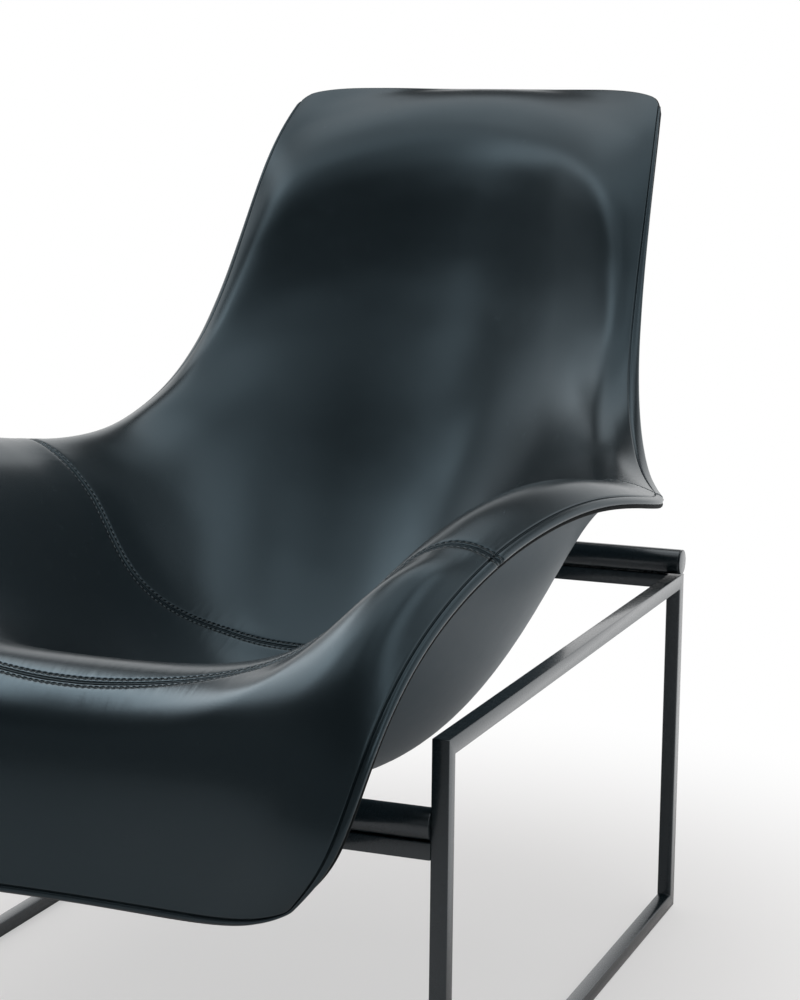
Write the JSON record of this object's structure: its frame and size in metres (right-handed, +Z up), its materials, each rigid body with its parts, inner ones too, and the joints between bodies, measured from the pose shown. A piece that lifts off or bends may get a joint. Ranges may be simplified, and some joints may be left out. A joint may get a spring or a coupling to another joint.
{
  "type": "reclining lounge chair",
  "caption": "Low lounge chair: a leather-covered moulded shell with wrapped arms and a rolled front, sliding to recline on round rods in a square-bar sled frame.",
  "frame": {"origin": "on the floor under the middle of the chair's overall box", "axes": "+Z up; the sitter faces -Y; +X is to the right of someone facing the chair"},
  "size_m": [0.7464, 1.1032, 0.884],
  "materials": {
    "frame_paint": "semi-gloss dark grey powder coat",
    "glide_plastic": "matt black nylon",
    "runner_plastic": "matt black nylon",
    "screw_zinc": "zinc plated",
    "seat_leather": "smooth fine-grained dark blue-grey leather",
    "foam": "cold-cured foam, hidden",
    "shell_plastic": "moulded, hidden",
    "cover_leather": "smooth grey leather"
  },
  "bodies": {
    "base_frame": {"left_floor_runner": "frame_paint", "left_rear_leg": "frame_paint", "left_top_rail": "frame_paint", "left_front_leg": "frame_paint", "right_floor_runner": "frame_paint", "right_rear_leg": "frame_paint", "right_top_rail": "frame_paint", "right_front_leg": "frame_paint", "left_front_glide": "glide_plastic", "left_rear_glide": "glide_plastic", "right_front_glide": "glide_plastic", "right_rear_glide": "glide_plastic", "front_cross_bar": "frame_paint", "rear_cross_bar": "frame_paint", "front_slide_rod": "frame_paint", "rear_slide_rod": "frame_paint", "left_rod_cap": "frame_paint", "right_rod_cap": "frame_paint"},
    "seat_shell": {"left_front_runner": "runner_plastic", "right_front_runner": "runner_plastic", "left_rear_runner": "runner_plastic", "right_rear_runner": "runner_plastic", "left_front_runner_screw_1": "screw_zinc", "left_front_runner_screw_2": "screw_zinc", "right_front_runner_screw_1": "screw_zinc", "right_front_runner_screw_2": "screw_zinc", "left_rear_runner_screw_1": "screw_zinc", "left_rear_runner_screw_2": "screw_zinc", "right_rear_runner_screw_1": "screw_zinc", "right_rear_runner_screw_2": "screw_zinc", "back_leather": "seat_leather", "seat_leather": "seat_leather", "apron_leather": "seat_leather", "edge_binding": "seat_leather", "back_foam": "foam", "seat_foam": "foam", "moulded_shell": "shell_plastic", "outer_cover": "cover_leather"}
  },
  "joints": [
    {"name": "recline", "type": "hinge", "parent": "base_frame", "child": "seat_shell", "pos_m": [0, -0.08211, 0.702], "axis": [-1, 0, 0], "range_deg": [0, 15]}
  ]
}
